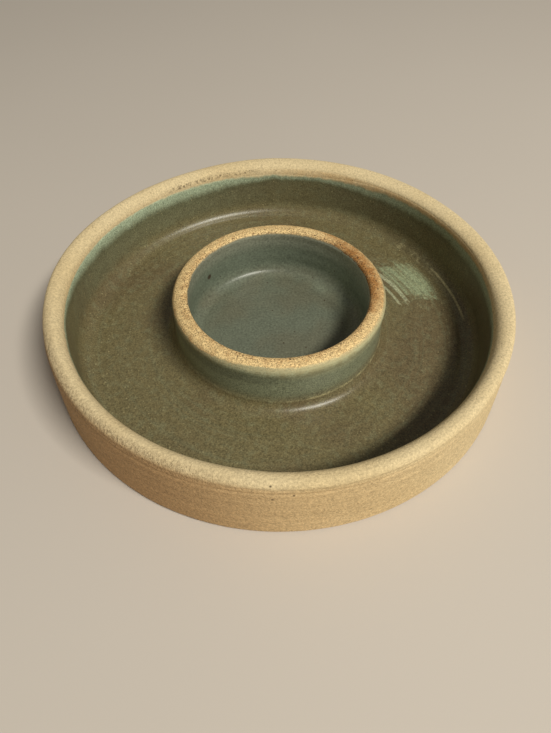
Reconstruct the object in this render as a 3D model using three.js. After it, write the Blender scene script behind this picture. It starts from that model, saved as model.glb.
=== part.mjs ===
// Chip and dip bowl: a hand-thrown stoneware dish with a dip cup standing in its middle.
// The cup's wall is a thrown ring, stuck to the dish floor with slip and coved in with soft clay coils.
// One glaze coat covers the chip well and another the inside of the cup.
// Millimetres, +Z up, origin at the centre of the base.

import * as THREE from 'three';

// Driving dimensions of the dish
const dishRadius = 127;
const dishHeight = 41.6;
const wallThickness = 10.3;
const wallLean = 1.1;
const wallTaper = 1.2;
const floorThickness = 4.6;
const footRadius = 3;
const wellCoveRadius = 8;

// Rim: rolled over the wall, gently on the inside and tightly on the outside, with a narrow crest between
const rimFlat = 0.4;
const rimOuterRadius = 3;

// Throwing line, a shallow groove round the outside just under the rim
const grooveDrop = 6.6;
const grooveWidth = 1.6;
const grooveDepth = 0.5;

// Dip cup ring, with a lip that stands proud of its wall by about the glaze's thickness
const cupRadius = 58.3;
const cupWall = 7;
const cupHeight = 36.2;
const lipProud = 0.9;
const lipRadius = 3;
const lipStep = 0.6;

// Joint between the ring and the floor
const slipThickness = 0.4;
const outerCoveRadius = 9;
const innerCoveRadius = 8;
const lutingGap = 0.1;

// Glaze coats: thickness, the gap to the clay, and the bare strips below the dish's rim and the cup's lip
const glazeThickness = 0.6;
const glazeGap = 0.2;
const bareBelowRim = 6.9;
const bareUnderLip = 0.6;

// Fineness of round shapes
const turnSegments = 48;
const arcSegments = 6;

const clay = new THREE.MeshStandardMaterial({ color: 0xd5bd8c, roughness: 0.9, metalness: 0 });
const toastedClay = new THREE.MeshStandardMaterial({ color: 0xcdac72, roughness: 0.85, metalness: 0 });
const driedSlip = new THREE.MeshStandardMaterial({ color: 0xb7986a, roughness: 0.95, metalness: 0 });
const oliveGlaze = new THREE.MeshStandardMaterial({ color: 0x6f6648, roughness: 0.35, metalness: 0 });
const slateGlaze = new THREE.MeshStandardMaterial({ color: 0x687058, roughness: 0.35, metalness: 0 });

// Radii and heights that several pieces share
const wallInside = dishRadius - wallLean - wallThickness;
const cupInside = cupRadius - cupWall;
const outerCoilRadius = cupRadius + lutingGap;
const innerCoilRadius = cupInside - lutingGap;
const ringSeat = floorThickness + slipThickness;
const rimInnerRadius = wallThickness - rimFlat - rimOuterRadius;
const lipFoot = cupHeight - lipRadius - lipStep;
const wellGlazeTop = dishHeight - bareBelowRim;
const cupGlazeTop = lipFoot - bareUnderLip;

// The wall's inside, which stands further in at the floor than under the rim
const wallFoot = wallInside - wallTaper;
const wallAtGlazeTop = wallInside - (wallTaper * bareBelowRim) / (dishHeight - floorThickness);

// Corner of a profile: distance from the axis, height, and the radius that rounds it
function corner(radius, height, rounding = 0) {
  return { at: new THREE.Vector2(radius, height), rounding };
}

// Points of a rounded corner, an arc tangent to the lines from and to its neighbours
function roundedCorner(before, here, after) {
  const toBefore = before.at.clone().sub(here.at).normalize();
  const toAfter = after.at.clone().sub(here.at).normalize();
  const halfAngle = Math.acos(toBefore.dot(toAfter)) / 2;
  const bisector = toBefore.clone().add(toAfter).normalize();
  const centre = here.at.clone().addScaledVector(bisector, here.rounding / Math.sin(halfAngle));
  const tangent = here.rounding / Math.tan(halfAngle);
  const start = here.at.clone().addScaledVector(toBefore, tangent).sub(centre);
  const turn = (Math.PI - 2 * halfAngle) * Math.sign(toAfter.cross(toBefore));
  const points = [];
  for (let i = 0; i <= arcSegments; i += 1) {
    const spoke = start.clone().rotateAround(new THREE.Vector2(), (turn * i) / arcSegments);
    points.push(centre.clone().add(spoke));
  }
  return points;
}

// Profile through a list of corners; the first and last stay sharp
function profile(corners) {
  return corners.flatMap((here, i) => {
    if (here.rounding === 0) {
      return [here.at];
    }
    return roundedCorner(corners[i - 1], here, corners[i + 1]);
  });
}

// Profile moved sideways by a distance, to the left of its direction of travel
function offset(points, distance) {
  return points.map((point, i) => {
    const next = points[Math.min(i + 1, points.length - 1)];
    const last = points[Math.max(i - 1, 0)];
    const along = next.clone().sub(last).normalize();
    return new THREE.Vector2(point.x - along.y * distance, point.y + along.x * distance);
  });
}

// Profile of a coat that lies over a clay surface, from its underside round to its face
function coat(surface) {
  const underside = offset(surface, glazeGap);
  const face = offset(surface, glazeGap + glazeThickness);
  return [...underside, ...face.reverse()];
}

// Ring profiles end where they began
function closed(points) {
  return [...points, points[0]];
}

// Body of revolution about the vertical axis
function turned(name, points, material) {
  const geometry = new THREE.LatheGeometry(points, turnSegments);
  geometry.rotateX(Math.PI / 2);
  const mesh = new THREE.Mesh(geometry, material);
  mesh.name = name;
  return mesh;
}

// Thrown dish: flat base, leaning wall with its throwing line, rim, inner wall, cove and floor
function dishBody() {
  const shoulder = dishRadius - wallLean;
  const grooveHeight = dishHeight - grooveDrop;
  const wallRadiusAt = (height) => dishRadius - (wallLean * height) / dishHeight;
  const grooveTop = grooveHeight + grooveWidth / 2;
  const grooveBottom = grooveHeight - grooveWidth / 2;
  return profile([
    corner(0, 0),
    corner(dishRadius, 0, footRadius),
    corner(wallRadiusAt(grooveBottom), grooveBottom),
    corner(wallRadiusAt(grooveHeight) - grooveDepth, grooveHeight),
    corner(wallRadiusAt(grooveTop), grooveTop),
    corner(shoulder, dishHeight, rimOuterRadius),
    corner(wallInside, dishHeight, rimInnerRadius),
    corner(wallFoot, floorThickness, wellCoveRadius),
    corner(0, floorThickness),
  ]);
}

// Thrown ring of the dip cup, with its rounded lip
function cupRing() {
  return closed(profile([
    corner(cupRadius, ringSeat),
    corner(cupRadius, lipFoot),
    corner(cupRadius + lipProud, lipFoot + lipStep),
    corner(cupRadius + lipProud, cupHeight, lipRadius),
    corner(cupInside - lipProud, cupHeight, lipRadius),
    corner(cupInside - lipProud, lipFoot + lipStep),
    corner(cupInside, lipFoot),
    corner(cupInside, ringSeat),
  ]));
}

// Bed of slip under the ring
function slipBed() {
  return closed(profile([
    corner(cupInside, floorThickness),
    corner(cupRadius, floorThickness),
    corner(cupRadius, ringSeat),
    corner(cupInside, ringSeat),
  ]));
}

// Coil smoothed into the corner outside the ring: a hollow face between the floor and the ring's wall
function outerCoveCoil() {
  const cove = profile([
    corner(outerCoilRadius + 2 * outerCoveRadius, floorThickness),
    corner(outerCoilRadius, floorThickness, outerCoveRadius),
    corner(outerCoilRadius, floorThickness + 2 * outerCoveRadius),
  ]);
  return closed([new THREE.Vector2(outerCoilRadius, floorThickness), ...cove.slice(1, -1)]);
}

// Coil smoothed into the corner inside the ring
function innerCoveCoil() {
  const cove = profile([
    corner(innerCoilRadius, floorThickness + 2 * innerCoveRadius),
    corner(innerCoilRadius, floorThickness, innerCoveRadius),
    corner(innerCoilRadius - 2 * innerCoveRadius, floorThickness),
  ]);
  return closed([new THREE.Vector2(innerCoilRadius, floorThickness), ...cove.slice(1, -1)]);
}

// Olive coat down the wall's inside, over the floor and up the outside of the cup
function wellGlaze() {
  return closed(coat(profile([
    corner(outerCoilRadius, cupGlazeTop),
    corner(outerCoilRadius, floorThickness, outerCoveRadius),
    corner(wallFoot, floorThickness, wellCoveRadius),
    corner(wallAtGlazeTop, wellGlazeTop),
  ])));
}

// Slate coat over the cup's floor and up its inside
function dipGlaze() {
  return coat(profile([
    corner(0, floorThickness),
    corner(innerCoilRadius, floorThickness, innerCoveRadius),
    corner(innerCoilRadius, cupGlazeTop),
  ]));
}

const bowl = new THREE.Group();
bowl.add(turned('dish_body', dishBody(), clay));
bowl.add(turned('cup_ring', cupRing(), toastedClay));
bowl.add(turned('slip_bed', slipBed(), driedSlip));
bowl.add(turned('outer_cove_coil', outerCoveCoil(), toastedClay));
bowl.add(turned('inner_cove_coil', innerCoveCoil(), toastedClay));
bowl.add(turned('well_glaze', wellGlaze(), oliveGlaze));
bowl.add(turned('dip_glaze', dipGlaze(), slateGlaze));

export default bowl;
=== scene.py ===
# %% [markdown]
# # A chip and dip bowl in stoneware
# The bowl is a low wheel-thrown dish with a dip cup standing in its middle. Its measured solids already
# exist, so this lesson only dresses them: each step makes one piece or one finish, in metres, in the
# solids' own frame. The frame is loaded first, because every later size is read from it.

# %% Load the measured solids
import math

import bmesh
import bpy
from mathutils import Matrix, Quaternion, Vector, noise


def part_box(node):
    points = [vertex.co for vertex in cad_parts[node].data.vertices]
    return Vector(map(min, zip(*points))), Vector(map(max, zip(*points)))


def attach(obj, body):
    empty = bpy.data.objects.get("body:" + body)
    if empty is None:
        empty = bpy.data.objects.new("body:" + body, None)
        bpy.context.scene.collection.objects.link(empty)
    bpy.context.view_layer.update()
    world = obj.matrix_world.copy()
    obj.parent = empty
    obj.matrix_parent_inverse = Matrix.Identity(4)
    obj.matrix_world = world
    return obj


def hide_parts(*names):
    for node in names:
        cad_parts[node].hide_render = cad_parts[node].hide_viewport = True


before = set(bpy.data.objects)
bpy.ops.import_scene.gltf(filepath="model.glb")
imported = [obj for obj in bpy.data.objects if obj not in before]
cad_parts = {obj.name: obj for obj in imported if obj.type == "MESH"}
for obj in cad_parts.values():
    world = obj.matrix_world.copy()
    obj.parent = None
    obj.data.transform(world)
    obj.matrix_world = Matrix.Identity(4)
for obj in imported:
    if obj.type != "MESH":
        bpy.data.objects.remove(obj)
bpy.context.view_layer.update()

print("solids:", sorted(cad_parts))

# %% [markdown]
# ## Sizes read from the solids
# A potter measures a pot with calipers: across the rim, over the lip of the cup, down to the floor. Here
# the boxes of the solids are the calipers. Only what a box can't tell, such as how round an edge is or how
# far a coil stands off its wall, is written down as a size.

# %% Caliper the solids
MM = 0.001

dish_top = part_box("dish_body")[1]
lip_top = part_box("cup_ring")[1]
bed_low, bed_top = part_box("slip_bed")
outer_coil_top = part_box("outer_cove_coil")[1]
inner_coil_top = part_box("inner_cove_coil")[1]
well_coat_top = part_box("well_glaze")[1]

rim_height = dish_top.z
floor_level = bed_low.z
cup_height = lip_top.z
lip_outside = lip_top.x
cup_outside = bed_top.x
coil_gap = 0.1 * MM
coat_gap = 0.42 * MM
cup_inside = inner_coil_top.x + coil_gap
wall_inside = well_coat_top.x + coat_gap
lip_proud = lip_outside - cup_outside
lip_inside = cup_inside - lip_proud
print(f"rim {rim_height / MM:.1f} mm high, well {2 * wall_inside / MM:.0f} mm across inside")
print(f"cup {cup_height / MM:.1f} mm high, {2 * lip_outside / MM:.0f} mm over its lip")

# %% [markdown]
# ## Shader maths as plain expressions
# A finish is a formula: so much olive here, so much turquoise there. Node graphs hide that, so one small
# class wraps a socket and lets Python's operators add the Math nodes. Any other node comes from its `node`
# method, which sets the node's own settings first and then fills its sockets.

# %% A socket that understands arithmetic
class Wire:
    """An output socket of a material, ready for arithmetic."""

    def __init__(self, socket):
        self.socket = socket
        self.tree = socket.id_data

    def node(self, kind, settings, sockets, output=0):
        made = self.tree.nodes.new(kind)
        for name, setting in settings.items():
            setattr(made, name, setting)
        for key, given in sockets.items():
            if isinstance(given, Wire):
                self.tree.links.new(given.socket, made.inputs[key])
            else:
                made.inputs[key].default_value = given
        return Wire(made.outputs[output])

    def math(self, operation, first, second):
        return self.node("ShaderNodeMath", {"operation": operation}, {0: first, 1: second})

    def __add__(self, other):
        return self.math("ADD", self, other)

    __radd__ = __add__

    def __sub__(self, other):
        return self.math("SUBTRACT", self, other)

    def __rsub__(self, other):
        return self.math("SUBTRACT", other, self)

    def __mul__(self, other):
        return self.math("MULTIPLY", self, other)

    __rmul__ = __mul__

    def __truediv__(self, other):
        return self.math("DIVIDE", self, other)

    def fade(self, low, high):
        """0 on the low side, 1 on the high side, smooth between; low may be the larger number."""
        ends = {"From Min": low, "From Max": high, "To Min": 0.0, "To Max": 1.0}
        if low > high:
            ends = {"From Min": high, "From Max": low, "To Min": 1.0, "To Max": 0.0}
        settings = {"interpolation_type": "SMOOTHSTEP", "clamp": True}
        return self.node("ShaderNodeMapRange", settings, {"Value": self, **ends})

    def band(self, low, high, soft):
        """1 between low and high, falling to 0 over soft on each side."""
        return self.fade(low - soft, low) * self.fade(high + soft, high)

    def part(self, axis):
        """One coordinate of a vector: 0, 1 or 2."""
        return self.node("ShaderNodeSeparateXYZ", {}, {0: self}, output=axis)


# %% [markdown]
# Colours and places need a few words of their own: blend two colours, shade a colour by a value, make
# cloudy noise or round specks of a real size, and find where a point lies round the pot.

# %% Colour and pattern helpers
def screen(red, green, blue):
    """Scene colour of an 8-bit screen colour."""
    shares = (red / 255, green / 255, blue / 255)
    return tuple(s / 12.92 if s <= 0.04045 else ((s + 0.055) / 1.055) ** 2.4 for s in shares)


def blend(amount, none, full):
    """Colour that goes from none to full as amount goes from 0 to 1."""
    none, full = (c if isinstance(c, Wire) else (*c, 1.0) for c in (none, full))
    settings = {"data_type": "RGBA", "clamp_factor": True}
    return amount.node("ShaderNodeMix", settings, {0: amount, 6: none, 7: full}, output=2)


def shaded(colour, amount):
    """Colour made darker or paler by an amount about 1."""
    settings = {"data_type": "RGBA", "blend_type": "MULTIPLY"}
    return colour.node("ShaderNodeMix", settings, {0: 1.0, 6: colour, 7: amount}, output=2)


def stretched(place, across, along, up):
    """Coordinates scaled along X, Y and Z."""
    scale = (across, along, up)
    return place.node("ShaderNodeVectorMath", {"operation": "MULTIPLY"}, {0: place, 1: scale})


def cloudy(place, size, detail=2.0, roughness=0.5):
    """Noise from 0 to 1 whose lumps repeat about every size metres."""
    sockets = {"Vector": place, "Scale": 1.0 / size, "Detail": detail, "Roughness": roughness}
    return place.node("ShaderNodeTexNoise", {}, sockets)


def specks(place, spacing, least, most):
    """Mask of round specks, one or none in each cell of this spacing, of sizes in shares of it."""
    sockets = {"Vector": place, "Scale": 1.0 / spacing}
    distance = place.node("ShaderNodeTexVoronoi", {}, sockets)
    chance = place.node("ShaderNodeTexVoronoi", {}, sockets, output=1).part(0)
    size = chance * (most - least) + least
    return ((size - distance) * 12).fade(0.0, 1.0)


def from_axis(place):
    """Distance of a point from the throwing axis."""
    level = stretched(place, 1, 1, 0)
    return place.node("ShaderNodeVectorMath", {"operation": "LENGTH"}, {0: level}, output=1)


def towards(place, degrees):
    """1 on the side of the pot that lies this way round it from +X, -1 on the other side."""
    way = math.radians(degrees)
    return (place.part(0) * math.cos(way) + place.part(1) * math.sin(way)) / from_axis(place)


# %% [markdown]
# A finish is one shader with formulas in its sockets. Relief finer than the mesh goes into the normal, as
# layers of bump, each with its depth in metres. A displaced mesh would need millions of faces for sand.

# %% A material and its shader
def new_finish(name):
    """A material with one shader, and the object coordinates that its patterns read."""
    material = bpy.data.materials.new(name)
    material.use_nodes = True
    nodes = material.node_tree.nodes
    place = Wire(nodes.new("ShaderNodeTexCoord").outputs["Object"])
    return material, nodes["Principled BSDF"], place


def connect(shader, **wires):
    """Feed the shader's sockets; an underscore in a name stands for a space."""
    for name, wire in wires.items():
        wire.tree.links.new(wire.socket, shader.inputs[name.replace("_", " ")])


def bumps(place, *layers):
    """Normal from layers of (height, depth in metres), the coarsest first."""
    normal = None
    for height, depth in layers:
        sockets = {"Height": height, "Distance": depth, "Strength": 1.0}
        if normal is not None:
            sockets["Normal"] = normal
        normal = place.node("ShaderNodeBump", {}, sockets)
    return normal


# %% [markdown]
# ## Bare stoneware
# The outside, the rim and the cup's lip are unglazed buff clay. Up close it is sand: pale and dark grains
# about half a millimetre across, a few iron specks, and faint level streaks where fingers dragged the sand
# round on the wheel. The recipe is a function and not a single material, because the glaze needs the same
# clay where it thins out to nothing.

# %% The clay recipe
CREAM = screen(220, 197, 149)
CREAM_DEEP = screen(209, 183, 132)
# The wall's tan is partly the clay's own tone and partly painted shade; the brown is painted shade.
WALL_TAN_AND_SHADE = screen(207, 174, 123)
WALL_SHADE_BROWN = screen(180, 144, 99)
# Brown of the pits, also used for painted shade along the torn line.
PIT_AND_SHADE_BROWN = screen(136, 104, 66)
TOAST = screen(188, 148, 92)
IRON = screen(58, 40, 24)


def bare_clay(place, toast):
    """Colour and relief of bare clay; toast runs from 0, pale, to 1, browned by the kiln."""
    height = place.part(2)
    cloud = cloudy(place, 45 * MM)
    patch = cloudy(place, 7 * MM, detail=3.0, roughness=0.6)
    streak = cloudy(stretched(place, 0.06, 0.06, 1), 3 * MM, detail=2.0)
    sand = cloudy(place, 1.15 * MM, detail=2.0, roughness=0.8)
    rise = towards(place, -150).fade(-0.2, 0.8) * (3 * MM)
    on_wall = (height - rise).fade(37.5 * MM, 33.5 * MM) * from_axis(place).fade(120 * MM, 124 * MM)
    colour = blend(cloud.fade(0.4, 0.7) * 0.6, CREAM, CREAM_DEEP)
    # Painted shade: the wall's tan deepens towards the left, the side away from the lamp, and the far left
    # is painted brown.
    colour = blend(on_wall * (towards(place, -150).fade(-0.4, 0.9) * 0.9 + 0.1), colour, WALL_TAN_AND_SHADE)
    colour = blend(on_wall * towards(place, -145).fade(0.5, 0.95), colour, WALL_SHADE_BROWN)
    colour = blend(toast * (patch.fade(0.3, 0.65) * 0.6 + 0.5), colour, TOAST)
    grain = (sand - 0.5) * (on_wall * 0.2 + 1.2)
    pale_side = towards(place, 35).fade(0.5, 0.95) * 0.06
    drawn = (streak - 0.5) * on_wall * 0.32
    colour = shaded(colour, 1 + pale_side + grain + drawn + (patch - 0.5) * 0.12)
    pits = specks(place, 2.3 * MM, -0.3, 0.24)
    colour = blend(pits * 0.35, colour, PIT_AND_SHADE_BROWN)
    iron = specks(place, 6.5 * MM, -0.12, 0.1)
    colour = blend(iron * 0.85, colour, IRON)
    return colour, sand - pits * 0.3 - iron * 0.3, streak * on_wall


def rim_toast(place):
    """How much the kiln browned the clay along the rim's inner edge, most of all at the back right."""
    waver = (cloudy(place, 7 * MM, detail=3.0) - 0.5) * (2.4 * MM)
    inside = from_axis(place).fade(119.5 * MM, 117.5 * MM)
    line = (place.part(2) + waver).band(34.0 * MM, 37.0 * MM, 2.0 * MM) * inside
    return line * (towards(place, 42).fade(0.55, 0.95) * 0.55 + 0.12)


# %% [markdown]
# The trimming tool tore sand out of the rim's outer edge, most of all on the left, and the rim's inner
# edge has dark scuffs at the back. On the left, the side away from the lamp, the torn line also carries
# painted shade. Three larger grains of iron have melted out at the front. The base has the lines that a
# pulled wire leaves when the pot is cut off the wheel.

# %% The dish's own clay
IRON_GRAINS = ((-4.2, -125.5, 40.2), (-3.5, -126.5, 30.5), (5.7, -126.4, 33.7))


def nearness(place, spot, full, none):
    """1 within a distance of a spot given in millimetres, fading to 0 at another."""
    sockets = {0: place, 1: Vector(spot) * MM}
    gap = place.node("ShaderNodeVectorMath", {"operation": "DISTANCE"}, sockets, output=1)
    return gap.fade(none, full)


def buff_clay_finish():
    material, shader, place = new_finish("buff_clay")
    height = place.part(2)
    radius = from_axis(place)
    colour, relief, streak = bare_clay(place, rim_toast(place))
    gouges = cloudy(place, 1.7 * MM, detail=3.0, roughness=0.75).fade(0.44, 0.64)
    left = towards(place, -135).fade(0.7, 0.98)
    # Painted shade over torn sand: the torn line is darkened on the left, the side away from the lamp.
    torn_and_shade = height.fade(34.6 * MM, 36.2 * MM) * radius.fade(119.5 * MM, 124 * MM) * left * (gouges + 0.6)
    colour = blend(torn_and_shade * 0.28, colour, PIT_AND_SHADE_BROWN)
    for grain_place in IRON_GRAINS:
        colour = blend(nearness(place, grain_place, 0.35 * MM, 0.85 * MM) * 0.8, colour, IRON)
    scuffed = height.band(36.6 * MM, 38.2 * MM, 0.6 * MM) * radius.fade(119 * MM, 118 * MM)
    scuffs = scuffed * towards(place, 112).fade(0.95, 0.985) * gouges
    colour = blend(scuffs * 0.7, colour, IRON)
    relief = relief - torn_and_shade * 0.8
    under = height.fade(1.2 * MM, 0.3 * MM)
    wire = cloudy(stretched(place, 1, 0.06, 1), 5 * MM, detail=3.0)
    colour = shaded(colour, 1 - under * (wire - 0.2) * 0.5)
    normal = bumps(place, (wire * under, 0.6 * MM), (streak, 0.15 * MM), (relief, 0.3 * MM))
    connect(shader, Base_Color=colour, Roughness=relief * 0.1 + 0.82, Normal=normal)
    shader.inputs["Specular IOR Level"].default_value = 0.25
    return material


buff_clay = buff_clay_finish()
print("clay finish:", buff_clay.name)

# %% [markdown]
# The lip of the cup is the same clay after a hotter spot in the kiln: toasted in patches, browner on its
# inner edge, on the right and along its outer edge on the left, and thick with iron specks.

# %% The cup's toasted clay
LIP_CREAM = screen(228, 195, 134)
RUST = screen(168, 118, 62)
SPECK_BROWN = screen(106, 70, 36)


def lip_clay(place):
    """Colour and relief of the lip's clay."""
    radius = from_axis(place)
    inner = radius.fade(57 * MM, 51.5 * MM)
    outer = radius.fade(54.5 * MM, 58.5 * MM)
    right = towards(place, 18).fade(0.62, 0.97)
    back = towards(place, 88).fade(0.5, 0.9)
    patch = cloudy(place, 4 * MM, detail=3.0, roughness=0.6)
    left_edge = towards(place, -160).fade(0.4, 0.95) * radius.fade(56.5 * MM, 59 * MM)
    sand = cloudy(place, 0.75 * MM, detail=2.0, roughness=0.8)
    sides = right * (0.75 - outer * 0.25) + back * outer * 0.4 + left_edge * 0.5
    burnt = sides + inner * (1 - back) * 0.25 + (patch - 0.5) * 1.6
    colour = shaded(blend(burnt, LIP_CREAM, RUST), 1.04 + (sand - 0.5) * 3.0)
    grit = cloudy(place, 0.8 * MM, detail=2.0).fade(0.55, 0.65) * (inner * 0.6 + 0.4)
    spots = specks(place, 2.9 * MM, -0.22, 0.25) * (inner * 0.4 + 0.6)
    colour = blend(grit * 0.85, colour, SPECK_BROWN)
    colour = blend(spots * 0.9, colour, IRON)
    return colour, sand - grit * 0.5 - spots * 0.4


def toasted_clay_finish():
    material, shader, place = new_finish("toasted_clay")
    colour, relief = lip_clay(place)
    normal = bumps(place, (relief, 0.28 * MM))
    connect(shader, Base_Color=colour, Roughness=relief * 0.15 + 0.7, Normal=normal)
    shader.inputs["Specular IOR Level"].default_value = 0.3
    return material


toasted_clay = toasted_clay_finish()
print("clay finish:", toasted_clay.name)

# %% [markdown]
# ## Olive glaze
# The well's glaze is a satin olive that breaks to turquoise where it runs thin, just under the bare rim and
# most of all at the back left. Up close it is a salt-and-pepper mottle, and the rings that the fingers left
# in the floor show through it. How thin the glaze is depends on the depth below its edge, so that depth
# drives the colours. On the cup the edge is softer: cream, then yellow green and mint, then olive.

# %% The olive colours and where the glaze stops
OLIVE = screen(113, 102, 68)
OLIVE_GREEN = screen(117, 116, 85)
UMBER = screen(106, 92, 63)
TEAL = screen(90, 94, 67)
TURQUOISE = screen(176, 187, 151)
CUP_GREEN = screen(137, 142, 111)
CUP_THIN = screen(203, 193, 142)
# Pale fleck colour, also used for a painted highlight along the finger ring.
FLECK_AND_GLINT = screen(176, 163, 116)

lip_glaze_edge = 34.6 * MM
wall_edge_low, wall_edge_high = 33.8 * MM, 35.8 * MM
print(f"glaze stops on the wall between {wall_edge_low / MM:.1f} and {wall_edge_high / MM:.1f} mm")

# %% [markdown]
# The edge is ragged: a slow waver and short runs move it up and down. On the wall the glaze covers the clay
# within about two millimetres. On the cup it thickens slowly, slowest at the front right, and on the left
# the lip is bare down to its outer edge. The steps of the recipe share these places, so one class holds
# them, and each step stays a short function.

# %% Places that the olive recipe shares
class OlivePlaces:
    """Masks, patterns and depths on the olive coat."""

    def __init__(self, place):
        self.place = place
        self.height = place.part(2)
        self.radius = from_axis(place)
        self.at_wall = self.radius.fade(75 * MM, 95 * MM)
        self.at_cup = 1 - self.at_wall
        self.front_right = towards(place, -40)
        self.lit = self.front_right.fade(0.3, 1.0)
        self.bare_left = towards(place, -165).fade(0.4, 0.95)
        self.back_left = towards(place, 140).fade(0.6, 0.99)
        self.waver = (cloudy(place, 15 * MM, detail=4.0, roughness=0.6) - 0.5) * (3.4 * MM)
        self.pepper = cloudy(place, 0.8 * MM, detail=2.0, roughness=0.75)
        self.mottle = cloudy(place, 4.5 * MM, detail=3.0, roughness=0.6)
        swirl = {0: self.radius, 1: place.part(0) * 0.03, 2: place.part(1) * 0.03}
        self.rings = cloudy(place.node("ShaderNodeCombineXYZ", {}, swirl), 2.4 * MM, detail=3.0)
        self.measure_depths()

    def measure_depths(self):
        """Depth below the glaze's edge on the wall and on the cup, and how far the glaze hides the clay."""
        runs = (cloudy(stretched(self.place, 1, 1, 0.2), 3.2 * MM, detail=2.0) - 0.5) * (2.2 * MM)
        round_back = towards(self.place, 80)
        wall_edge = wall_edge_high - round_back * round_back * (wall_edge_high - wall_edge_low)
        self.wall_depth = wall_edge - self.height + self.waver + runs
        cup_edge = lip_glaze_edge + 0.6 * MM - self.bare_left * (2.2 * MM)
        self.cup_depth = cup_edge - self.height + self.waver * 0.6 + runs
        starts = self.cup_depth.fade(-0.5 * MM, 0.5 * MM) * (0.66 - self.lit * 0.4)
        thickens = (self.cup_depth / (self.lit * (6.5 * MM) + 5.2 * MM)).fade(0, 1)
        cup_cover = starts + (1 - starts) * thickens
        wall_cover = self.wall_depth.fade(-1.3 * MM, 1.1 * MM)
        self.cover = wall_cover * self.at_wall + cup_cover * self.at_cup


# %% [markdown]
# Where it lies thick the glaze is olive with umber clouds, greener on the walls than on the floor. Where it
# runs thin it turns teal and then turquoise, and under the cup's lip it breaks to mint. Each colour is
# blended over the last, which keeps every step readable.

# %% Thick and thin glaze
def olive_body(spot):
    """Colour of the glaze where it is thick."""
    cloud = cloudy(spot.place, 60 * MM, detail=2.0)
    colour = blend(cloud.fade(0.42, 0.66), OLIVE, UMBER)
    colour = blend(spot.rings.fade(0.5, 0.75) * 0.3, colour, OLIVE_GREEN)
    colour = blend(spot.mottle.fade(0.45, 0.75) * 0.45, colour, OLIVE_GREEN)
    up_wall = spot.height.fade(8 * MM, 19 * MM) * spot.at_wall
    colour = blend(up_wall * (spot.back_left * 0.5 + 0.2), colour, OLIVE_GREEN)
    return blend(spot.height.fade(9 * MM, 17 * MM) * spot.at_cup * 0.85, colour, CUP_GREEN)


def olive_thin(spot, colour):
    """Colour with the glaze run thin under the lip and under the rim."""
    mint = spot.cup_depth.band(2.4 * MM, 4.6 * MM, 1.8 * MM) * spot.at_cup * spot.mottle.fade(0.35, 0.65)
    colour = blend(mint * (spot.lit * 0.5 + 0.25), colour, TURQUOISE)
    # Painted shade and light: a band under the lip is darker on the side away from the lamp and paler on
    # the side facing it.
    under_lip_shading = spot.height.band(25 * MM, 27.5 * MM, 3 * MM) * spot.at_cup
    colour = shaded(colour, 1 - under_lip_shading * (0.28 - spot.lit * 0.34))
    at_back = towards(spot.place, 80).fade(0.5, 0.95)
    colour = shaded(colour, 1 - spot.height.fade(9 * MM, 16 * MM) * spot.at_wall * at_back * 0.1)
    right = towards(spot.place, 25).fade(0.6, 0.95)
    reach = spot.back_left * (3.6 * MM) + right * (2.2 * MM) + 2.1 * MM
    thin = spot.wall_depth / reach
    colour = blend(thin.fade(2.6, 1.5) * spot.at_wall * 0.3, colour, TEAL)
    return blend(thin.fade(1.7, 0.4) * spot.at_wall * (spot.back_left * 0.35 + 0.6), colour, TURQUOISE)


# %% [markdown]
# To the right of the cup a pale mint reflection is painted on the floor, with a few painted streaks of it
# along its inner side. It could be painted on as an attribute. A few soft bands of radius and turn say the
# same in numbers, and stay sharp at any mesh.

# %% A painted reflection on the floor
# Colours of the painted reflection on the floor.
MINT_REFLECTION = screen(158, 168, 128)
MINT_REFLECTION_STREAK = screen(192, 194, 154)


def painted_reflection_on_floor(place, radius, rings):
    """Mask of a painted pale reflection to the right of the cup, and of its painted streaks along its inner
    side.
    """
    turn = place.math("ARCTAN2", place.part(1), place.part(0)) * (180 / math.pi)
    ragged = (cloudy(place, 4 * MM, detail=3.0, roughness=0.7) - 0.5) * 18
    turned = turn + ragged
    out = radius + ragged * (0.25 * MM)
    fanned = turned + (out - 86 * MM) * (0.3 / MM)
    body = fanned.band(21, 34, 8) * turned.fade(12, 17) * out.band(82 * MM, 101 * MM, 4 * MM)
    corner = (out - turned * (0.55 * MM)).fade(60 * MM, 66 * MM)
    drawn = radius + turn * (0.13 * MM)
    first = drawn.band(83.3 * MM, 85.0 * MM, 0.8 * MM) * turned.band(15, 40, 3)
    second = drawn.band(78.2 * MM, 79.3 * MM, 0.6 * MM) * turned.band(16, 31, 3)
    grain = cloudy(place, 1.8 * MM, detail=3.0, roughness=0.7).fade(0.3, 0.58)
    mottled = rings.fade(0.35, 0.6) * 0.65 + grain * 0.35
    return body * corner * mottled, (first + second * 0.7) * (mottled * 0.6 + 0.4)


# %% [markdown]
# A finger ring near the wall and the edge of the smoothed coil stand a little proud, and the glaze breaks
# pale along them; along the ring on the right a thin painted highlight is added. Their places are named
# here, because the mesh raises the same lines later.

# %% Pale lines and flecks
ring_line = 110 * MM
coil_line = 10.5 * MM


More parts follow.
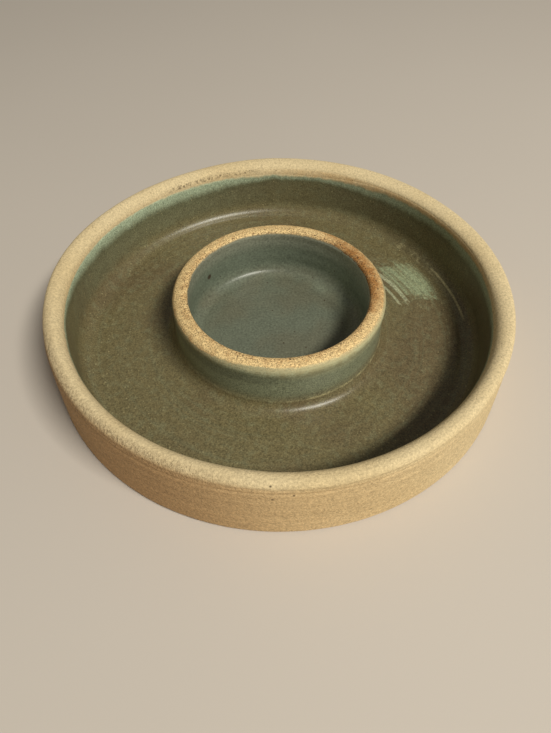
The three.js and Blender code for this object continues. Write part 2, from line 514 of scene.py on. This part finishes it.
def olive_lines(spot):
    """Mask of the pale lines on the floor's right side, with a painted highlight along the ring, and along
    the coil at the front right.
    """
    # Painted highlight: a thin bright line along the finger ring on the right.
    painted_ring_highlight = spot.radius.band(ring_line, ring_line + 0.4 * MM, 0.6 * MM)
    painted_ring_highlight = painted_ring_highlight * towards(spot.place, 14).fade(0.97, 0.99)
    grainy = spot.radius.band(ring_line - 1.4 * MM, ring_line + 0.6 * MM, 1.2 * MM)
    grainy = grainy * towards(spot.place, 32).fade(0.975, 0.992) * spot.mottle.fade(0.4, 0.7)
    coil = spot.height.band(coil_line - 0.2 * MM, coil_line + 0.2 * MM, 0.5 * MM) * spot.at_cup
    coil = coil * spot.front_right.fade(0.5, 0.95) * spot.mottle.fade(0.3, 0.6)
    return painted_ring_highlight + grainy * 0.8 + coil * 0.6


def olive_marks(spot, colour):
    """Colour with the painted reflection, the pale lines, the salt and pepper and the flecks."""
    reflection_mask, reflection_streaks = painted_reflection_on_floor(spot.place, spot.radius, spot.rings)
    on_floor = spot.height.fade(8 * MM, 7 * MM)
    # Painted reflection: a pale mint patch and its streaks on the floor to the right of the cup.
    colour = blend(reflection_mask * on_floor * 0.8, colour, MINT_REFLECTION)
    colour = blend(reflection_streaks * on_floor * 0.75, colour, MINT_REFLECTION_STREAK)
    colour = blend(olive_lines(spot), colour, FLECK_AND_GLINT)
    colour = shaded(colour, 1 + (spot.pepper - 0.5) * 2.5 + (spot.mottle - 0.5) * 0.3)
    flecks = specks(spot.place, 1.9 * MM, -0.35, 0.3) * (1 - spot.at_cup * 0.6)
    return blend(flecks * 0.5, colour, FLECK_AND_GLINT)


# %% [markdown]
# The recipe puts the steps together and lets the bare clay through where the glaze ends. Both glazes of the
# bowl are satin: a low, slightly warm reflection that the pepper breaks up.

# %% The olive recipe
def satin(shader):
    """Strength and tint of a satin glaze's reflection."""
    shader.inputs["Specular IOR Level"].default_value = 0.42
    shader.inputs["Specular Tint"].default_value = (1.0, 0.97, 0.86, 1.0)


def olive_glaze_finish():
    material, shader, place = new_finish("olive_glaze")
    spot = OlivePlaces(place)
    glaze = olive_marks(spot, olive_thin(spot, olive_body(spot)))
    wall_clay, clay_relief, _ = bare_clay(place, rim_toast(place))
    lip_colour, _ = lip_clay(place)
    washed = (spot.height + spot.waver).fade(36.2 * MM, 33.4 * MM)
    washed = washed * (spot.lit * 0.5 + 0.4 - spot.bare_left * 0.3)
    lip_colour = blend(washed, lip_colour, CUP_THIN)
    cover = spot.cover
    colour = blend(cover, blend(spot.at_cup, wall_clay, lip_colour), glaze)
    roughness = 0.82 - cover * (0.59 - spot.pepper * 0.16)
    glaze_relief = spot.pepper * 0.7 + spot.rings * 0.3
    normal = bumps(place, (glaze_relief * cover, 0.11 * MM), (clay_relief * (1 - cover), 0.28 * MM))
    connect(shader, Base_Color=colour, Roughness=roughness, Normal=normal)
    satin(shader)
    return material


olive_glaze = olive_glaze_finish()
print("glaze finish:", olive_glaze.name)

# %% [markdown]
# ## Slate glaze
# The cup's glaze is a cooler grey green, smoother, with sparse dark specks from iron in the clay below and
# one burst bubble in the wall. It has its own recipe, because mixing it out of the olive one would only
# hide its few values.

# %% The slate recipe
SLATE = screen(106, 110, 90)
SLATE_BROWN = screen(105, 104, 83)
SLATE_GREEN = screen(108, 116, 96)
SLATE_PALE = screen(142, 141, 118)
bubble_spot = (-41.3, 29.1, 18.9)


def slate_glaze_finish():
    material, shader, place = new_finish("slate_glaze")
    height = place.part(2)
    waver = (cloudy(place, 9 * MM, detail=3.0) - 0.5) * (1.6 * MM)
    depth = lip_glaze_edge - height + waver
    cover = depth.fade(-0.7 * MM, 0.7 * MM)
    pepper = cloudy(place, 1.3 * MM, detail=2.0, roughness=0.8)
    mottle = cloudy(place, 7 * MM, detail=3.0)
    colour = blend(cloudy(place, 30 * MM).fade(0.4, 0.65), SLATE, SLATE_BROWN)
    colour = blend(height.fade(7 * MM, 14 * MM) * 0.8, colour, SLATE_GREEN)
    colour = blend(height.fade(20 * MM, 36 * MM), colour, SLATE_PALE)
    colour = shaded(colour, 1 + (pepper - 0.5) * 1.5 + (mottle - 0.5) * 0.25)
    iron = specks(place, 3.2 * MM, -0.32, 0.21)
    colour = blend(iron * 0.75, colour, IRON)
    # Painted light: the right inside wall and the edge of the floor beside it, in the lip's shadow, are
    # painted paler to lift that shadow.
    right = towards(place, 5).fade(0.4, 0.95) * from_axis(place).fade(37 * MM, 44 * MM)
    colour = shaded(colour, 1 + right * 0.65)
    colour = blend(nearness(place, bubble_spot, 1.1 * MM, 2.2 * MM) * 0.85, colour, IRON)
    lip_colour, lip_relief = lip_clay(place)
    colour = blend(cover, lip_colour, colour)
    roughness = 0.75 - cover * (0.5 - pepper * 0.16)
    normal = bumps(place, (pepper * cover, 0.06 * MM), (lip_relief * (1 - cover), 0.28 * MM))
    connect(shader, Base_Color=colour, Roughness=roughness, Normal=normal)
    satin(shader)
    return material


slate_glaze = slate_glaze_finish()
print("glaze finish:", slate_glaze.name)

# %% [markdown]
# ## Throwing a piece
# On the wheel a pot is a profile that turns. In Blender that is a wire with few corners: a vertex bevel
# rounds each corner, the long edges are divided, and a spin makes the pot. One spin of hundreds of steps is
# slow, so a narrow wedge is spun first and then repeated round the axis. A lathe modifier would give the
# same turning, but the spin leaves a real mesh that the next step can push about by hand. The clay takes
# more steps than the glaze, because its torn lines are finer than anything on the glaze.

# %% Profile, spin and finish
TURN_PARTS = 24
CLAY_STEPS = 24
COAT_STEPS = 16
ROUND_STEPS = 10
MERGE_GAP = 0.002 * MM


def draw_profile(mesh, corners, ring):
    """Wire through corners of (radius, height, rounding), closed on itself for a ring."""
    points = [mesh.verts.new((radius, 0, height)) for radius, height, _ in corners]
    following = points[1:] + points[:1] if ring else points[1:]
    for here, there in zip(points, following):
        mesh.edges.new((here, there))
    for point, (_, _, rounding) in zip(points, corners):
        if rounding:
            arms = [edge.other_vert(point).co - point.co for edge in point.link_edges]
            tangent = rounding / math.tan(arms[0].angle(arms[1]) / 2)
            bmesh.ops.bevel(
                mesh, geom=[point], offset=tangent, offset_type="OFFSET", segments=ROUND_STEPS,
                profile=0.5, affect="VERTICES", material=-1, clamp_overlap=False,
            )


def divide_runs(mesh, longest):
    """Cut each edge into pieces no longer than longest(radius, height) at its middle."""
    for edge in mesh.edges[:]:
        middle = (edge.verts[0].co + edge.verts[1].co) / 2
        cuts = math.ceil(edge.calc_length() / longest(middle.x, middle.z)) - 1
        if cuts > 0:
            bmesh.ops.subdivide_edges(mesh, edges=[edge], cuts=cuts)


def throw(corners, ring, longest, steps):
    """A turned mesh from a profile, in so many steps to each wedge, closed and with its faces outward."""
    mesh = bmesh.new()
    draw_profile(mesh, corners, ring)
    divide_runs(mesh, longest)
    wedge = math.tau / TURN_PARTS
    axis = {"cent": (0, 0, 0), "axis": (0, 0, 1)}
    bmesh.ops.spin(mesh, geom=mesh.verts[:] + mesh.edges[:], angle=wedge, steps=steps, **axis)
    bmesh.ops.spin(
        mesh, geom=mesh.verts[:] + mesh.edges[:] + mesh.faces[:], angle=math.tau - wedge,
        steps=TURN_PARTS - 1, use_duplicate=True, **axis,
    )
    bmesh.ops.remove_doubles(mesh, verts=mesh.verts[:], dist=MERGE_GAP)
    bmesh.ops.recalc_face_normals(mesh, faces=mesh.faces[:])
    return mesh


def finish_piece(mesh, name, material, slot, *nodes):
    """Turn the mesh into a piece that rides on the bowl and stands for its solids."""
    for face in mesh.faces:
        face.smooth = True
    open_edges = sum(not edge.is_manifold for edge in mesh.edges)
    data = bpy.data.meshes.new(name)
    mesh.to_mesh(data)
    mesh.free()
    data.materials.append(material)
    piece = bpy.data.objects.new(name, data)
    bpy.context.scene.collection.objects.link(piece)
    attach(piece, "root")
    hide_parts(*nodes)
    print(name, "has", len(data.polygons), "faces and", open_edges, "open edges")


# %% [markdown]
# ## The hand on the wheel
# No thrown pot is a perfect turning. The wall swings in and out by a fraction of a millimetre, and the rim
# rises and dips. The same swing is used for clay and glaze, so that they stay together. The fingers leave
# ridges too, and those are pressed in along the normals, piece by piece. Edges wear unevenly, so a few
# named spots on them are moved in or out. Sculpting could do all this, but numbers can be read and changed.

# %% Swing and touch
DISH_SWING = (
    (0, 0.1, 1.57), (1, 0.38, 2.61), (2, 0.25, 1.76), (3, 0.26, 4.89), (4, 0.21, 1.79), (5, 0.08, 6.14),
)
DISH_RISE = ((2, 0.22, 1.9), (3, 0.15, 0.4), (7, 0.06, 1.1))
CUP_SWING = ((1, 0.35, 1.0), (2, 0.15, 2.4), (3, 0.12, 0.9), (6, 0.06, 3.0))
CUP_RISE = ((2, 0.16, 0.2), (4, 0.1, 1.4), (7, 0.05, 5.0))
STILL_RADIUS = 30 * MM
CUP_REACH = (64 * MM, 80 * MM)
DISH_REACH = (85 * MM, 105 * MM)


def smooth_step(value, low, high):
    """0 below low, 1 above high, smooth between."""
    share = min(1.0, max(0.0, (value - low) / (high - low)))
    return share * share * (3 - 2 * share)


def bell(value, middle, width):
    """1 in the middle, falling off smoothly over about this width."""
    return math.exp(-((value - middle) / width) ** 2)


def waves(turn, parts):
    """Sum of waves of (lobes round the pot, millimetres, phase)."""
    return sum(size * MM * math.sin(lobes * turn + phase) for lobes, size, phase in parts)


def sway(mesh):
    """Push a turned mesh out of true as a thrown pot is, with its base left flat."""
    for vert in mesh.verts:
        radius = math.hypot(vert.co.x, vert.co.y)
        if radius < STILL_RADIUS:
            continue
        lift = smooth_step(vert.co.z, floor_level, rim_height)
        turn = math.atan2(vert.co.y, vert.co.x)
        dish_share = smooth_step(radius, *DISH_REACH)
        cup_share = (1 - smooth_step(radius, *CUP_REACH)) * lift
        out = waves(turn, DISH_SWING) * dish_share + waves(turn, CUP_SWING) * cup_share
        vert.co.x *= 1 + out / radius
        vert.co.y *= 1 + out / radius
        vert.co.z += waves(turn, DISH_RISE) * dish_share * lift + waves(turn, CUP_RISE) * cup_share


def touch(mesh, height_at):
    """Raise each vertex along its normal by height_at(place, normal, radius, turn)."""
    mesh.normal_update()
    raised = []
    for vert in mesh.verts:
        radius = math.hypot(vert.co.x, vert.co.y)
        turn = math.atan2(vert.co.y, vert.co.x)
        raised.append(vert.normal * height_at(vert.co, vert.normal, radius, turn))
    for vert, move in zip(mesh.verts, raised):
        vert.co += move


def wear(mesh, spots):
    """Move edges in or out where spots say: (radius, height, reach, out, up, facing, spread)."""
    for vert in mesh.verts:
        radius = math.hypot(vert.co.x, vert.co.y)
        for edge_radius, edge_height, reach, out, up, facing, spread in spots:
            gap = math.hypot(radius - edge_radius, vert.co.z - edge_height)
            if gap < reach:
                turn = math.atan2(vert.co.y, vert.co.x) - math.radians(facing)
                share = 1 - smooth_step(gap, 1 * MM, reach)
                share *= smooth_step(math.cos(turn), math.cos(math.radians(spread)), 1.0)
                vert.co += Vector((vert.co.x / radius * out, vert.co.y / radius * out, up)) * share * MM


def lumps(place, size):
    """Soft lumps from -1 to 1 of this size."""
    return noise.noise(place / size)


def spiral(along, pitch, turn):
    """Wave of a groove that moves on by one pitch in each turn round the pot."""
    return math.sin(math.tau * along / pitch - turn)


# %% [markdown]
# ## The dish
# Floor, wall and rim were thrown from one lump of clay. The wall leans in a little towards the rim, which
# rolls over gently on the inside and tightly on the outside. The potter's hand squeezed the wall thinner at
# the front right and the roll flatter at the right. The outer edge is worn on the left, and two torn lines
# run round under it where it was trimmed. Only the outside, the rim and the base stay in view, but the
# piece is whole, as the real one is under its glaze.

# %% The dish's profile
wall_thickness = 10.3 * MM
wall_lean = 1.1 * MM
wall_taper = 1.2 * MM
foot_rounding = 2 * MM
rim_outer_rounding = 3 * MM
rim_inner_rounding = 6.9 * MM
well_cove = 10 * MM
collar_line = 37.5 * MM
second_line = 35.0 * MM

shoulder = wall_inside + wall_thickness
wall_foot = wall_inside - wall_taper


def wall_at(height, cut=0.0):
    """Point of the outer wall at this height, cut in by so many millimetres."""
    return shoulder + wall_lean * (1 - height / rim_height) - cut * MM, height, 0


dish_corners = [
    (0, 0, 0),
    (shoulder + wall_lean, 0, foot_rounding),
    wall_at(24 * MM),
    wall_at(second_line - 2.0 * MM, 0.2),
    wall_at(second_line - 0.3 * MM, 0.3),
    wall_at(second_line + 0.6 * MM, 0.05),
    (shoulder, rim_height, rim_outer_rounding),
    (wall_inside, rim_height, rim_inner_rounding),
    (wall_foot, floor_level, well_cove),
    (0, floor_level, 0),
]
worn_rim = [
    (shoulder, rim_height, 7 * MM, -0.9, -0.8, -132, 55),
    (shoulder, rim_height, 6 * MM, -0.7, -0.2, 130, 40),
    (shoulder, rim_height, 4.5 * MM, 0.5, 0.3, 75, 45),
]


# %% Squeeze the wall
rim_crest = wall_inside + rim_inner_rounding
thin_side = math.radians(-55)
flat_side = math.radians(32)


def squeeze(mesh):
    """Thin the wall from inside at the front right, and press the rim's roll flatter at the right."""
    for vert in mesh.verts:
        radius = math.hypot(vert.co.x, vert.co.y)
        if not wall_foot - MM < radius < rim_crest:
            continue
        turn = math.atan2(vert.co.y, vert.co.x)
        drop = rim_height - vert.co.z
        thin = smooth_step(math.cos(turn - thin_side), 0.64, 0.94)
        thin *= min(1.0, (rim_crest - radius) / rim_inner_rounding)
        thin *= 1 - smooth_step(drop, 16 * MM, 32 * MM)
        flat = smooth_step(math.cos(turn - flat_side), 0.7, 0.98) * 0.42
        up = flat * min(drop, rim_inner_rounding) * (1 - smooth_step(drop, rim_inner_rounding, 20 * MM))
        vert.co += Vector((vert.co.x / radius * thin * MM, vert.co.y / radius * thin * MM, up))


def dish_step(radius, height):
    """Fine where the clay is in view, coarse under the glaze and on the base."""
    if height > 32 * MM:
        return 0.6 * MM
    return 1.1 * MM if radius > shoulder - MM else 7 * MM


# %% Throw the dish
def dish_touch(place, normal, radius, turn):
    """Throwing ridges, torn collar lines and lumps of the bare clay."""
    if place.z < 0.5 * MM or radius < wall_inside - MM:
        return 0.0
    height = 0.05 * lumps(place, 9 * MM) + 0.035 * lumps(place, 3 * MM)
    if radius > shoulder - 0.5 * MM and place.z < rim_height - 2 * MM:
        ridge = spiral(place.z, 6.5 * MM, turn) + 0.6 * spiral(place.z, 3.1 * MM, -turn)
        height += 0.05 * ridge * smooth_step(place.z, 3 * MM, 8 * MM)
        ragged = 0.35 + 0.65 * smooth_step(math.cos(turn + math.radians(130)), -0.2, 0.8)
        lines = bell(place.z, collar_line, 1.0 * MM) + bell(place.z, second_line - 0.3 * MM, 0.8 * MM)
        tear = max(0.0, lumps(place, 2.3 * MM) + 0.15) + max(0.0, lumps(place, 5.5 * MM))
        height -= (0.04 + 0.2 * tear * ragged) * lines
    return height * MM


dish_mesh = throw(dish_corners, False, dish_step, CLAY_STEPS)
touch(dish_mesh, dish_touch)
squeeze(dish_mesh)
wear(dish_mesh, worn_rim)
sway(dish_mesh)
finish_piece(dish_mesh, "stoneware_dish", buff_clay, "buff_clay", "dish_body")

# %% [markdown]
# ## The dip cup's ring
# The cup's wall was thrown as a ring with no floor and stuck to the dish. Its lip rolls over to the outside
# and is a touch thicker than the wall, which leaves the glaze a place to stop. Only the lip stays in view,
# so only the lip is fine.

# %% Throw the cup ring
lip_outer_rounding = 3.4 * MM
lip_inner_rounding = 2.6 * MM
lip_step = 0.6 * MM
lip_slope = 0.5 * MM
lip_foot = cup_height - lip_slope - lip_outer_rounding - lip_step
lip_inner_foot = cup_height - lip_inner_rounding - lip_step
ring_corners = [
    (cup_outside, bed_top.z, 0),
    (cup_outside, lip_foot, 0),
    (lip_outside, lip_foot + lip_step, 0),
    (lip_outside, cup_height - lip_slope, lip_outer_rounding),
    (lip_inside, cup_height + 0.15 * MM, lip_inner_rounding),
    (lip_inside, lip_inner_foot + lip_step, 0),
    (cup_inside, lip_inner_foot, 0),
    (cup_inside, bed_top.z, 0),
]
worn_lip = [(lip_outside, cup_height, 6 * MM, -0.6, -0.6, -150, 100)]


def ring_step(radius, height):
    """Fine on the lip, coarse on the wall below it."""
    return 0.5 * MM if height > lip_foot else 8 * MM


def lip_touch(place, normal, radius, turn):
    """Lumps of the lip's clay."""
    if place.z < lip_foot:
        return 0.0
    return (0.07 * lumps(place, 6 * MM) + 0.04 * lumps(place, 2 * MM)) * MM


ring_mesh = throw(ring_corners, True, ring_step, CLAY_STEPS)
touch(ring_mesh, lip_touch)
wear(ring_mesh, worn_lip)
sway(ring_mesh)
finish_piece(ring_mesh, "dip_cup_ring", toasted_clay, "toasted_clay", "cup_ring")

# %% [markdown]
# ## The olive coat
# Glaze is a skin of glass about half a millimetre thick. It is drawn as its own closed ring: a face that
# runs from the cup's lip down over the cove, across the floor and up the wall to the rim's roll, and an
# underside that lies just inside the clay. Both ends dip under the bare clay, so no step shows there.

# %% The olive coat's profile
coat_face = 0.65 * MM
coat_sink = 0.03 * MM
outer_cove = outer_coil_top.z - floor_level
coat_floor = floor_level + coat_face
well_corners = [
    (lip_outside - 3.2 * MM, 35.5 * MM, 0),
    (lip_outside - 1.5 * MM, 35.42 * MM, 0.6 * MM),
    (lip_outside - 0.66 * MM, 34.7 * MM, 0.8 * MM),
    (lip_outside + 0.1 * MM, 33.4 * MM, 2 * MM),
    (lip_outside + 0.2 * MM, 31.8 * MM, 3 * MM),
    (cup_outside + coat_face + coil_gap, 28.5 * MM, 4 * MM),
    (cup_outside + coat_face + coil_gap, coat_floor, outer_cove - coat_face),
    (wall_foot - coat_face, coat_floor, well_cove - coat_face),
    (wall_inside - 0.55 * MM, 34.6 * MM, 4 * MM),
    (wall_inside + 1.9 * MM, 38.4 * MM, 0),
    (wall_inside + 2.15 * MM, 38.1 * MM, 0),
    (wall_inside + 0.15 * MM, 34.9 * MM, 3 * MM),
    (wall_foot + coat_sink, floor_level - coat_sink, well_cove),
    (cup_outside + coil_gap - coat_sink, floor_level - coat_sink, outer_cove),
    (cup_outside - coat_sink, lip_foot, 0),
    (lip_outside - 2.2 * MM, 34.8 * MM, 0),
]
channel_radius = (cup_outside + wall_inside) / 2
inner_ring_line = 104 * MM


def well_step(radius, height):
    """Fine on the coat's face, coarse on its underside."""
    on_floor = cup_outside + 9 * MM < radius < wall_foot - 9 * MM
    under_floor = on_floor and height < floor_level + 0.3 * MM
    under_wall = radius < cup_outside + 0.2 * MM or radius > wall_inside - 0.2 * MM
    return 6 * MM if under_floor or under_wall and height < 34 * MM else 1.15 * MM


# %% Throw the olive coat
def well_touch(place, normal, radius, turn):
    """Finger rings in the floor and on the cup's wall, pressed into the face of the coat alone."""
    outward = (normal.x * place.x + normal.y * place.y) / radius
    if outward * (channel_radius - radius) + normal.z * (rim_height - place.z) <= 0:
        return 0.0
    height = 0.03 * lumps(place, 7 * MM)
    low = 1 - smooth_step(place.z, 10 * MM, 16 * MM)
    fingers = spiral(radius, 7.2 * MM, turn) + 0.5 * spiral(radius, 4.1 * MM, 2 * turn)
    uneven = 0.6 + 0.8 * lumps(place + Vector((0.3, 0.1, 0.0)), 45 * MM)
    height += 0.075 * fingers * uneven * low
    ring_share = 0.35 + 0.65 * smooth_step(math.cos(turn - math.radians(20)), 0.0, 0.8)
    height += 0.27 * ring_share * bell(radius, ring_line, 0.9 * MM) * low
    height += 0.06 * bell(radius, inner_ring_line, 0.9 * MM) * low
    if radius < cup_outside + 3.7 * MM:
        height += 0.02 * spiral(place.z, 6.2 * MM, turn) * smooth_step(place.z, 9 * MM, 14 * MM)
        height += 0.18 * bell(place.z, coil_line, 0.6 * MM)
    return height * MM


well_mesh = throw(well_corners, True, well_step, COAT_STEPS)
touch(well_mesh, well_touch)
squeeze(well_mesh)
wear(well_mesh, worn_rim + worn_lip)
sway(well_mesh)
finish_piece(well_mesh, "olive_glaze_coat", olive_glaze, "olive_glaze", "well_glaze")

# %% [markdown]
# ## The slate coat
# The cup's glaze is a saucer of the same kind: a face over the floor, the cove and the wall, and an
# underside. It starts and ends on the axis, so the spin closes it at the pole. The burst bubble is a dent
# in the wall.

# %% Throw the slate coat
inner_cove = inner_coil_top.z - floor_level
dip_corners = [
    (0, floor_level - coat_sink, 0),
    (cup_inside - coil_gap + coat_sink, floor_level - coat_sink, inner_cove),
    (cup_inside + coat_sink, lip_inner_foot, 0),
    (lip_inside + 1.35 * MM, 35.3 * MM, 0),
    (lip_inside + 1.05 * MM, 35.7 * MM, 0),
    (lip_inside + 0.2 * MM, 34.8 * MM, 1.0 * MM),
    (lip_inside - 0.12 * MM, 33.2 * MM, 2.5 * MM),
    (cup_inside - coat_face - coil_gap, 29.5 * MM, 4 * MM),
    (cup_inside - coat_face - coil_gap, coat_floor, inner_cove - coat_face),
    (0, coat_floor, 0),
]


def dip_step(radius, height):
    """Fine on the coat's face and walls, coarse under its floor."""
    return 1.0 * MM if height > floor_level else 4 * MM


def dip_touch(place, normal, radius, turn):
    """Finger rings and the burst bubble, on the face of the coat alone."""
    outward = (normal.x * place.x + normal.y * place.y) / max(radius, MM)
    if normal.z * (rim_height - place.z) - outward * radius <= 0:
        return 0.0
    height = 0.03 * lumps(place, 8 * MM)
    height += 0.05 * spiral(radius + place.z, 8 * MM, turn) * smooth_step(radius, 4 * MM, 12 * MM)
    height -= 0.5 * bell((place - Vector(bubble_spot) * MM).length, 0, 1.2 * MM)
    return height * MM


dip_mesh = throw(dip_corners, False, dip_step, COAT_STEPS)
touch(dip_mesh, dip_touch)
sway(dip_mesh)
finish_piece(dip_mesh, "slate_glaze_coat", slate_glaze, "slate_glaze", "dip_glaze")

# %% [markdown]
# ## What the glaze hides
# The slip bed and the two coils are inside the pot. Their solids already have the right shape, so they
# only take the clay's finish.

# %% Dress the hidden clay
for hidden in ("slip_bed", "outer_cove_coil", "inner_cove_coil"):
    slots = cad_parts[hidden].data.materials
    slots.clear()
    slots.append(toasted_clay)
    print(hidden, "takes", toasted_clay.name)

# %% [markdown]
# ## Floor, light and camera
# The bowl stands on a plain pale floor. One soft lamp from the front right draws the shadow inside the
# near wall, and a pale sky fills the rest. The camera looks down at about fifty degrees from close by,
# which is what makes the far rim look narrower than the near one.

# %% Pale floor
FLOOR_DEEP = screen(200, 188, 170)
FLOOR_PALE = screen(205, 193, 175)
FLOOR_SIZE = 3.0


def floor_finish():
    material, shader, place = new_finish("pale_floor")
    haze = cloudy(place, 0.3)
    connect(shader, Base_Color=blend(haze, FLOOR_DEEP, FLOOR_PALE))
    shader.inputs["Roughness"].default_value = 0.9
    return material


floor_mesh = bmesh.new()
bmesh.ops.create_grid(floor_mesh, x_segments=1, y_segments=1, size=FLOOR_SIZE)
floor_data = bpy.data.meshes.new("floor")
floor_mesh.to_mesh(floor_data)
floor_mesh.free()
floor_data.materials.append(floor_finish())
floor = bpy.data.objects.new("floor", floor_data)
bpy.context.scene.collection.objects.link(floor)

# %% Soft light
SKY = 0.165

world = bpy.data.worlds.new("pale_sky")
bpy.context.scene.world = world
world.use_nodes = True
sky = world.node_tree.nodes["Background"]
sky.inputs["Color"].default_value = (1.0, 0.985, 0.96, 1.0)
sky.inputs["Strength"].default_value = SKY


def lamp(name, turn, rise, distance, width, height, power):
    """Flat lamp that faces the bowl from this turn round it and rise above it, in degrees."""
    data = bpy.data.lights.new(name, "AREA")
    data.shape = "RECTANGLE"
    data.size = width
    data.size_y = height
    data.energy = power
    turn, rise = math.radians(turn), math.radians(rise)
    way = Vector((math.sin(turn) * math.cos(rise), -math.cos(turn) * math.cos(rise), math.sin(rise)))
    made = bpy.data.objects.new(name, data)
    made.location = way * distance
    made.rotation_euler = way.to_track_quat("Z", "Y").to_euler()
    bpy.context.scene.collection.objects.link(made)
    print(name, "faces the bowl from", [round(part, 2) for part in made.location])


lamp("key_lamp", turn=44, rise=52.8, distance=2.2, width=0.9, height=0.3, power=45)

# %% Camera at the photograph's angle
PHOTO_HEIGHT = 733
PHOTO_FOCAL = 600
CAMERA_RISE = math.radians(49.8)
CAMERA_ROLL = math.radians(-0.46)
CAMERA_DISTANCE = 316.4 * MM
CAMERA_AIM = Vector((-1.7, -43.3, 20)) * MM

camera_data = bpy.data.cameras.new("camera")
camera_data.sensor_width = 36.0
camera_data.lens = camera_data.sensor_width * PHOTO_FOCAL / PHOTO_HEIGHT
camera_data.clip_start = 0.01
camera = bpy.data.objects.new("camera", camera_data)
camera_back = Vector((0, -math.cos(CAMERA_RISE), math.sin(CAMERA_RISE)))
camera.location = CAMERA_AIM + camera_back * CAMERA_DISTANCE
camera.rotation_mode = "QUATERNION"
camera.rotation_quaternion = Quaternion(camera_back, CAMERA_ROLL) @ camera_back.to_track_quat("Z", "Y")
bpy.context.scene.collection.objects.link(camera)
bpy.context.scene.camera = camera
bpy.context.scene.view_settings.view_transform = "Standard"
print(f"camera with a {camera_data.lens:.1f} mm lens, {camera.location.z / MM:.0f} mm above the floor")
